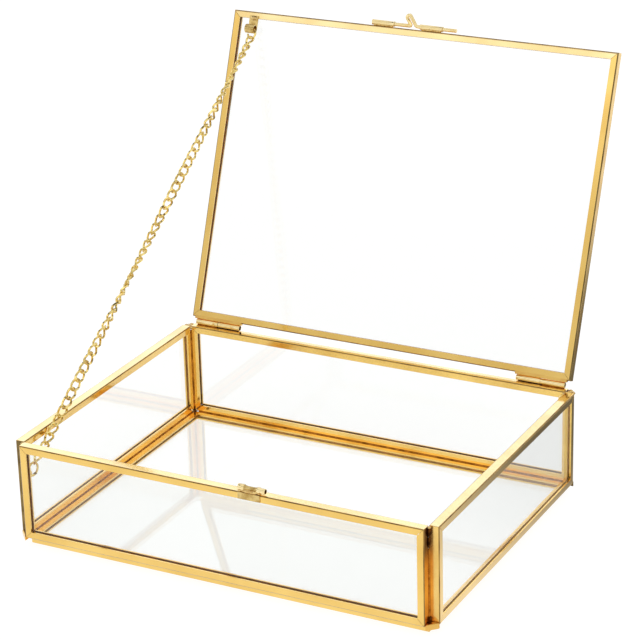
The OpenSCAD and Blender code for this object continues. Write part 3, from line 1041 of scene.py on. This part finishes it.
            # the lid knuckle's bore and the pin are painted dark brown: painted shade inside the
            # knuckle
            for obj, name, finish, body, node, lines in (
                    (base, "knuckle_base", HARDWARE_BRASS, "base", "base_knuckle", ()),
                    (lid, "knuckle_lid", HARDWARE_BRASS, "lid", "lid_knuckle",
                     [(SCORCH_AND_SHADE, self.in_bore)]),
                    (pin, "pin", SCORCH_AND_SHADE, "base", "hinge_pin", ())):
                if sign < 0:
                    mirrored(obj)
                wardrobe.fit(obj, shift(0, s.hinge_y, s.hinge_z), f"{name}_{side}", finish,
                             body, f"{node}_{side}", lines)
            self.solder(wardrobe, side, sign)

    def in_bore(self, middle: Vector, normal: Vector) -> bool:
        """Whether a face of a knuckle, as it is drawn, is on its bore."""
        return math.hypot(middle.y, middle.z) < self.mouth_r + 0.02


@dataclass
class Latch:
    """The sliding bolt of bent wire, its two guide tubes and the keeper.

    All of them are drawn along X about the bolt's axis.
    """

    sizes: Sizes
    wire_r: float = 0.85
    tube_r: float = 1.2
    axis_y: float = -74.6
    axis_z: float = 50.05
    # side, left end and length
    guides: tuple[tuple[str, float, float], ...] = (("left", -24.6, 11.25), ("right", -0.4, 11.2))
    # the bolt: its ends, and where its handle starts, how wide and high it is and how it leans
    tail: float = -23.0
    shank_end: float = 17.6
    handle: float = -5.0
    handle_pitch: float = 2.5
    handle_rise: float = 3.2
    handle_lean: float = 37.0
    keeper_x: float = 11.3
    keeper_len: float = 12.5
    keeper_end: float = 3.0
    keeper_bore_r: float = 0.92
    waist_r: float = 0.98
    flange_r: float = 1.45
    # the keeper's skirt: how much shorter it is, its thickness and height, and its middle
    skirt_short: float = 2.2
    skirt: tuple[float, float] = (0.52, 3.1)
    skirt_at: Point = (0.3, -1.63, -3.05)
    # half thickness along Y and Z of the solder behind a guide
    guide_bead: tuple[float, float] = (0.55, 0.85)

    def tube(self, x: float, length: float) -> Obj:
        """A cut length of guide tube, a burr left at its cut ends."""
        lip, rim, end = 0.12, 0.08, x + length
        bore, r, burr = self.wire_r + 0.05, self.tube_r, self.tube_r + 0.1
        obj = turned([(x + lip, bore), (x, bore + rim), (x, r), (x + rim, burr), (x + 0.3, r),
                      (end - 0.3, r), (end - rim, burr), (end, r), (end, bore + rim),
                      (end - lip, bore), (x + lip, bore)])
        smooth_below(ROUND)
        return obj

    def bolt(self) -> Obj:
        """The bolt's wire: tail, hairpin handle and shank in one bent length."""
        lean = math.radians(self.handle_lean)
        sin, cos = math.sin(lean), math.cos(lean)
        leg, loop_r = self.handle_rise / cos, self.handle_pitch * cos / 2
        start, right = self.handle, self.handle + self.handle_pitch
        centre = (start - sin * leg + loop_r * cos, -cos * leg - loop_r * sin)
        foot = (-sin * 0.45, -cos * 0.45)
        points = [(self.tail, 0), (self.tail + 4, 0), (start - 0.9, 0), (start - 0.35, -0.06),
                  (start + foot[0], foot[1])]
        for i in range(13):
            side = -math.cos(math.pi * i / 12) * loop_r
            rise = math.sin(math.pi * i / 12) * loop_r
            points.append((centre[0] + side * cos - rise * sin,
                           centre[1] - side * sin - rise * cos))
        points += [(right + foot[0], foot[1]), (right + 0.35, -0.06), (right + 0.9, 0),
                   (self.shank_end - 0.3, 0), (self.shank_end, 0)]
        return bent_wire([(x, y, 0) for x, y in points], self.wire_r)

    def keeper(self) -> list[tuple[Obj, Brass]]:
        """The pinched keeper tube, its skirt on the rail's front, and the solder round them.

        Returns:
            Each piece with its finish, the tube first.
        """
        x, length, end, bore = self.keeper_x, self.keeper_len, self.keeper_end, self.keeper_bore_r
        flange, waist, r, far = self.flange_r, self.waist_r, self.tube_r, length - end
        tube = turned((x + along, radius) for along, radius in (
            (0.1, bore), (0, bore + 0.08), (0, flange - 0.06), (0.1, flange), (end - 1.2, flange),
            (end - 0.2, flange - 0.04), (end + 0.5, waist + 0.1), (end + 1.6, waist),
            (far - 2.4, waist), (far - 1.3, waist + 0.1), (far - 0.6, flange - 0.04),
            (far + 0.4, flange), (length - 2.2, r), (length - 0.1, r), (length, r - 0.06),
            (length, bore + 0.08), (length - 0.1, bore), (0.1, bore)))
        smooth_below(ROUND)
        skirt_len = length - self.skirt_short
        along, y, z = self.skirt_at
        skirt = block((skirt_len, *self.skirt), (x + skirt_len / 2 + along, y, z))
        pieces = [(tube, HARDWARE_BRASS), (soften(skirt, 0.2, 3), SHADED_SHEET_BRASS)]
        half = length / 2
        # solder in front of the waist and behind it, and drops at the tube's ends
        for seed, (along, y, z, size) in enumerate((
                (half - 0.6, -1.2, -0.95, (half - 1.2, 0.68, 0.95)),
                (half - 0.4, 0.9, -1.2, (half - 1.2, 0.9, 0.42)),
                (1.0, -1.15, -1.0, (1.0, 0.6, 0.7)),
                (length - 3.6, -1.35, -0.7, (0.75, 0.5, 0.6)),
                (length - 2.4, -1.3, -0.95, (0.6, 0.5, 0.55))), 110):
            pieces.append((placed(lump(size, seed), shift(x + along, y, z)), SOLDER))
        return pieces

    def build(self, wardrobe: Wardrobe) -> None:
        """Bend the bolt, cut the guides and pinch the keeper, each in its place."""
        axis = shift(0, self.axis_y, self.axis_z)
        on_lid = self.sizes.opened() @ axis
        for side, x, length in self.guides:
            # the guides' bores are painted dark brown: painted shade
            wardrobe.fit(self.tube(x, length), on_lid, f"guide_{side}", HARDWARE_BRASS,
                         "lid", f"bolt_guide_{side}",
                         [(SCORCH_AND_SHADE, self.in_bore)])
            wardrobe.fit(bead(length - 0.7, self.guide_bead, 120 + int(x)),
                         on_lid @ shift(x + length / 2, 1.15, -0.1), f"guide_solder_{side}",
                         SOLDER, "lid", "bolt_guide_solder")
        wardrobe.fit(self.bolt(), on_lid, "bolt_wire", HARDWARE_BRASS,
                     "latch_bolt", "latch_bolt")
        for number, (piece, finish) in enumerate(self.keeper()):
            # the keeper's waist takes the sheet's painted shade, and its bore dark painted shade
            lines = () if number else [(SHADED_SHEET_BRASS, self.on_waist), (SCORCH_AND_SHADE, self.in_bore)]
            wardrobe.fit(piece, axis, f"keeper_{number}", finish, "base",
                         "latch_keeper", lines)

    def on_waist(self, middle: Vector, normal: Vector) -> bool:
        """Whether a face of the keeper, as it is drawn, is on its pinched waist."""
        return 2.9 < middle.x - self.keeper_x < self.keeper_len - 3.5

    def in_bore(self, middle: Vector, normal: Vector) -> bool:
        """Whether a face of a tube, as it is drawn, is on its bore."""
        return (math.hypot(middle.y, middle.z) < self.wire_r + 0.12
                and middle.y * normal.y + middle.z * normal.z < 0)


@dataclass
class Chain:
    """The chain that stays the open lid: curb links between two rings."""

    sizes: Sizes
    start: Point = (-93.4, -66.3, 37.3)
    end: Point = (-83.9, 119.4, 178.3)
    count: int = 50
    sag: float = 0.3
    wire: float = 1.08
    link_width: float = 4.5
    twist: float = 0.80
    play: float = 0.06
    # about where the links' edges look, and their turn about the chain at its start and over it
    facing: Point = (0.46, -0.79, 0.40)
    face_turn: float = 126.0
    spiral: float = 363.0
    # heights that the folded chain swings between, and the links of the heap that climbs to the tab
    fold_low: float = 7.5
    fold_high: float = 20.0
    heap_high: float = 43.0
    heap: int = 14

    def at(self, share: float) -> Vector:
        """The point of the hanging chain at a share of its length."""
        a, b = Vector(self.start), Vector(self.end)
        return a.lerp(b, share) - Vector((0, 0, 4 * self.sag * share * (1 - share)))

    def link(self) -> Obj:
        """A curb link about the origin, its length along X, twisted so that its mates lie flat."""
        pitch = ((Vector(self.end) - Vector(self.start)).length - self.wire - 0.3) / self.count
        a, b = (pitch + self.wire + self.play) / 2, (self.link_width - self.wire) / 2
        points = [(a * math.cos(t), b * math.sin(t), self.twist * math.sin(2 * t))
                  for t in (2 * math.pi * i / 24 for i in range(24))]
        return bent_wire(points, self.wire / 2, closed=True, sides=1)

    def folded_weights(self) -> list[float]:
        """Share of the lid's turn for each link, so that the shut lid would fold the chain.

        A link that follows a share of the turn moves about the hinge at its own distance. The
        shut chain swings up and down over the bottom, and climbs in a heap at its lid end.

        Returns:
            A weight for each link, from the box's end to the lid's.
        """
        s = self.sizes
        polar = []
        for i in range(self.count):
            p = self.at((i + 0.5) / self.count)
            dy, dz = p.y - s.hinge_y, p.z - s.hinge_z
            polar.append((math.hypot(dy, dz), math.degrees(math.atan2(dz, -dy))))
        weights: list[float] = []
        angle, way = polar[0][1], -1
        for i, (r, rest) in enumerate(polar):
            if i:
                left = self.count - i
                high = self.fold_high if left > self.heap else (
                    self.fold_low + (self.heap_high - self.fold_low) * (1 - left / self.heap) + 6)
                floor, roof = (math.degrees(math.asin(max(-1.0, (z - s.hinge_z) / r)))
                               for z in (self.fold_low, high))
                step = abs(rest - polar[i - 1][1])
                tried = angle + way * step
                if tried < floor:
                    way = 1
                elif tried > roof and angle <= roof + 12:
                    way = -1
                angle = max(angle + way * step, floor)
            weights.append(min(1.0, max(0.0, (rest - angle) / s.open_angle)))
        return weights

    @staticmethod
    def share_for(weight: float) -> float:
        """The share t whose smooth step t * t * (3 - 2 * t) is the weight."""
        low, high = 0.0, 1.0
        for _ in range(50):
            middle = (low + high) / 2
            if middle * middle * (3 - 2 * middle) < weight:
                low = middle
            else:
                high = middle
        return (low + high) / 2

    def build(self, wardrobe: Wardrobe) -> None:
        """Hang the links between the rings."""
        pattern = self.link()
        for i, weight in enumerate(self.folded_weights()):
            share = (i + 0.5) / self.count
            x_axis = (self.at(share + 0.01) - self.at(share - 0.01)).normalized()
            y_axis = Vector(self.facing).cross(x_axis).normalized()
            link = pattern.copy()
            link.data = pattern.data.copy()
            bpy.context.scene.collection.objects.link(link)
            # a curb chain winds about its own line as it hangs
            settle(link, shift(*self.at(share)) @ aligned(x_axis, y_axis)
                   @ turn(self.face_turn + self.spiral * share, "X"), f"link_{i + 1:02d}")
            wardrobe.put(link, CHAIN_BRASS)
            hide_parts("chain_links")
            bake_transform(link)
        bpy.data.objects.remove(pattern, do_unlink=True)


@dataclass
class ChainFittings:
    """What the chain hangs from: a rolled tab on the lid, an eyelet in the box, and two rings."""

    sizes: Sizes
    tab_x: float = -85.2
    tab_start: float = 1.95
    strip_width: float = 4.6
    strip: float = 0.5
    roll_at: tuple[float, float] = (8.35, 2.2)
    roll_r: float = 1.9
    # the rings: middle, half length and half width, gap, tilt and about where the flat side looks
    ring_wire: float = 1.0
    lid_ring: tuple = ((-84.3, 121.0, 179.9), (2.3, 1.8), 14, 62.0, (0.10, -0.95, 0.1))
    base_ring: tuple = ((-93.4, -67.95, 35.1), (2.95, 1.8), 16, 53.0, (0.62, -0.70, 0.35))
    # half sizes of the solder on the tab, of its burnt edge, of the ring's joint and at the eyelet
    tab_solder: Point = (2.2, 1.15, 0.7)
    tab_scorch: Point = (1.7, 0.3, 0.3)
    joint: Point = (1.35, 0.72, 0.66)
    eyelet_solder: Point = (0.5, 0.7, 0.7)
    eyelet: Point = (-95.4, -69.5, 33.0)
    eyelet_r: float = 2.0
    eyelet_wire: float = 0.72
    eyelet_lean: float = 20.0

    def rolled_strip(self) -> Obj:
        """The tab: a strip whose end is rolled into an eye, drawn under the closed lid.

        Returns:
            The strip along Y from the lid's front edge at 0, hanging down from Z = 0.
        """
        along, down = self.roll_at
        points = [(self.tab_start, self.strip / 2), (4.0, self.strip / 2),
                  (along - 1.3, self.strip / 2 + 0.02)]
        for i in range(15):
            a = math.radians(-82 + i * 322 / 14)
            points.append((along + self.roll_r * math.cos(a), down + self.roll_r * math.sin(a)))
        obj = placed(traced([(y, -z, 0) for y, z in points], extrude=self.strip_width / 2), CYCLE)
        modify(obj, "SOLIDIFY", thickness=self.strip, offset=0.0)
        pick_all(obj)
        close_edit()
        return soften(obj, 0.08, 2, 40)

    @staticmethod
    def hung(middle: Point, tilt: float, facing: Point) -> Matrix:
        """The place of a ring that hangs from its top.

        Args:
            middle: its middle.
            tilt: degrees from +Y up to its length, which lies in the YZ plane.
            facing: about where its flat side looks.

        Returns:
            The matrix from the ring's own XY plane.
        """
        along = Vector((0, math.cos(math.radians(tilt)), math.sin(math.radians(tilt))))
        return shift(*middle) @ aligned(along, Vector(facing).cross(along).normalized())

    def ring(self, half: tuple[float, float], gap: float) -> Obj:
        """An open jump ring in the XY plane, with a gap in degrees at its +Y side."""
        turns = (math.radians(90 + gap / 2 + i * (360 - gap) / 40) for i in range(41))
        return bent_wire([(half[0] * math.cos(a), half[1] * math.sin(a), 0) for a in turns],
                         self.ring_wire / 2, sides=3)

    def build(self, wardrobe: Wardrobe) -> None:
        """Roll the tab, bend the rings and the eyelet, and solder them."""
        s = self.sizes
        under = s.opened() @ shift(self.tab_x, -s.lid_depth / 2, s.lid_z)
        r = self.eyelet_r
        half_turn = [(r * math.sin(math.radians(a)), -r * math.cos(math.radians(a)), 0)
                     for a in range(0, 181, 10)]
        in_eye = shift(*self.eyelet) @ turn(90 - self.eyelet_lean, "X")
        at_lid, lid_half, lid_gap, *lid_way = self.lid_ring
        at_base, base_half, base_gap, *base_way = self.base_ring
        in_base = self.hung(at_base, *base_way)
        pieces = [
            (self.rolled_strip(), under, "tab", "lid", SHADED_SHEET_BRASS, "hardware_brass", "tab"),
            (lump(self.tab_solder, 131, 0.08), under @ shift(0, 3.25, -0.35), "tab_solder",
             "lid", SOLDER, "solder", "tab"),
            (lump(self.tab_scorch, 132, 0.10), under @ shift(0.2, 2.35, -0.45), "tab_scorch",
             "lid", SCORCH_AND_SHADE, "solder", "tab"),
            (self.ring(lid_half, lid_gap), self.hung(at_lid, *lid_way), "lid_ring", "lid",
             CHAIN_BRASS, "chain_brass", "lid_ring"),
            (self.ring(base_half, base_gap), in_base, "base_ring", "base", CHAIN_BRASS,
             "chain_brass", "base_ring"),
            # the ring's joint is a dark olive lump: painted shade where the rings overlap
            (lump(self.joint, 135, 0.08),
             in_base @ shift(-1.7, -1.35, 0) @ turn(-32, "Z"), "base_ring_joint", "base",
             OLIVE_SHADE_BRASS, "chain_brass", "base_ring"),
            (bent_wire(half_turn, self.eyelet_wire / 2, sides=3), in_eye, "eyelet", "base",
             HARDWARE_BRASS, "hardware_brass", "eyelet"),
        ]
        for number, way in enumerate((-1, 1)):
            pieces.append((lump(self.eyelet_solder, 133 + number), in_eye @ shift(0.1, way * r, 0),
                           f"eyelet_solder_{number}", "base", SOLDER, "solder", "eyelet"))
        for obj, place, name, body, finish, slot, node in pieces:
            wardrobe.fit(obj, place, name, finish, body, f"chain_{node}")


@dataclass
class Studio:
    """The light table, the tent of white cloth round it, its light and the camera."""

    # how bright the tent is by height, from the horizon at 0 to straight up at 1
    tent: tuple[tuple[float, float], ...] = (
        (0.0, 0.35), (0.04, 0.60), (0.15, 0.74), (0.27, 0.80), (0.34, 0.84), (0.375, 1.28),
        (0.45, 1.26), (0.58, 1.25), (0.64, 0.60), (0.67, 0.12), (0.72, 0.12), (0.77, 0.85),
        (1.0, 0.95))
    brightest: float = 1.3
    # a soft box far off: where it lies, how wide its core and its edge are, and how bright it is
    box_toward: Point = (-0.45, 0.80, 0.45)
    box_core: float = 12.0
    box_edge: float = 34.0
    box_glow: float = 0.15
    # a dark curtain low behind the box: how far round it starts, and up to what height it hangs
    curtain: float = 0.5
    curtain_y: tuple[float, float] = (0.25, 0.50)
    curtain_z: tuple[float, float] = (0.36, 0.29)
    table: float = 40.0
    lens: float = 141.745
    camera_shift: tuple[float, float] = (0.00595, 0.02447)
    camera_at: Point = (475.06, -880.19, 499.69)
    camera_angles: Point = (67.5382, 1.4353, 27.2783)

    def floor(self, wardrobe: Wardrobe) -> None:
        """Lay the white sheet, and the flag that only the brass and the glass mirror."""
        for name, finish, z in (("light_table", TABLE, -0.0002), ("side_flag", FLAG, -0.0001)):
            sheet = plane(self.table, self.table, (0, 0, z))
            sheet.name = name
            wardrobe.put(sheet, finish)
        sheet.visible_camera = sheet.visible_diffuse = sheet.visible_shadow = False
        sheet.visible_transmission = False

    def sky(self) -> None:
        """Make the tent, the soft box and the curtain, as a pattern on the world."""
        world = bpy.data.worlds.new("studio")
        bpy.context.scene.world = world
        world.use_nodes = True
        tree = world.node_tree
        tree.nodes.clear()
        way = add_node(tree, "TexCoord").outputs["Generated"]
        across = add_node(tree, "SeparateXYZ", {0: way}).outputs
        total = times(tree, ramp(tree, across["Z"], [
            (height, (*[bright / self.brightest] * 3, 1.0)) for height, bright in self.tent],
            "EASE"), self.brightest)
        facing = add_node(tree, "VectorMath", {0: way, 1: Vector(self.box_toward).normalized()},
                          operation="DOT_PRODUCT").outputs["Value"]
        box = smooth_edge(tree, facing, math.cos(math.radians(self.box_edge)),
                          math.cos(math.radians(self.box_core)), self.box_glow)
        total = times(tree, total, box, "ADD")
        drape = times(tree, smooth_edge(tree, across["Y"], *self.curtain_y),
                      smooth_edge(tree, across["Z"], *self.curtain_z))
        total = times(tree, total, map_range(tree, drape, 0.0, 1.0, 1.0, 1.0 - self.curtain))
        background = add_node(tree, "Background", {"Strength": total,
                                                   "Color": (1.0, 1.0, 1.0, 1.0)})
        add_node(tree, "OutputWorld", {"Surface": background.outputs[0]})

    def camera(self) -> None:
        """Stand the camera at the product view."""
        bpy.ops.object.camera_add(location=[v * MM for v in self.camera_at],
                                  rotation=[math.radians(a) for a in self.camera_angles])
        camera = bpy.context.object
        camera.data.sensor_width = 36.0
        camera.data.lens = self.lens
        camera.data.shift_x, camera.data.shift_y = self.camera_shift
        camera.data.clip_start, camera.data.clip_end = 0.05, 60.0
        bpy.context.scene.camera = camera

    def build(self, wardrobe: Wardrobe) -> None:
        """Set the whole stage."""
        self.floor(wardrobe)
        self.sky()
        self.camera()
        scene = bpy.context.scene
        scene.view_settings.view_transform = "Standard"
        # light crosses two panes and several brass walls before it leaves a slot
        scene.cycles.max_bounces, scene.cycles.glossy_bounces = 24, 14
        scene.cycles.transmission_bounces, scene.cycles.diffuse_bounces = 18, 3


def main() -> None:
    """Build and dress the box, then set the studio round it."""
    logging.basicConfig(level=logging.INFO, format="%(name)s: %(message)s")
    sizes = Sizes()
    wardrobe = Wardrobe()
    deselect_all()
    for assembly in (Frames, Solderwork, Hinges, Latch, Chain, ChainFittings):
        assembly(sizes).build(wardrobe)
        LOG.info("%s built", assembly.__name__)
    Studio().build(wardrobe)
    LOG.info("Studio set")
    deselect_all()


if __name__ == "__main__":
    main()
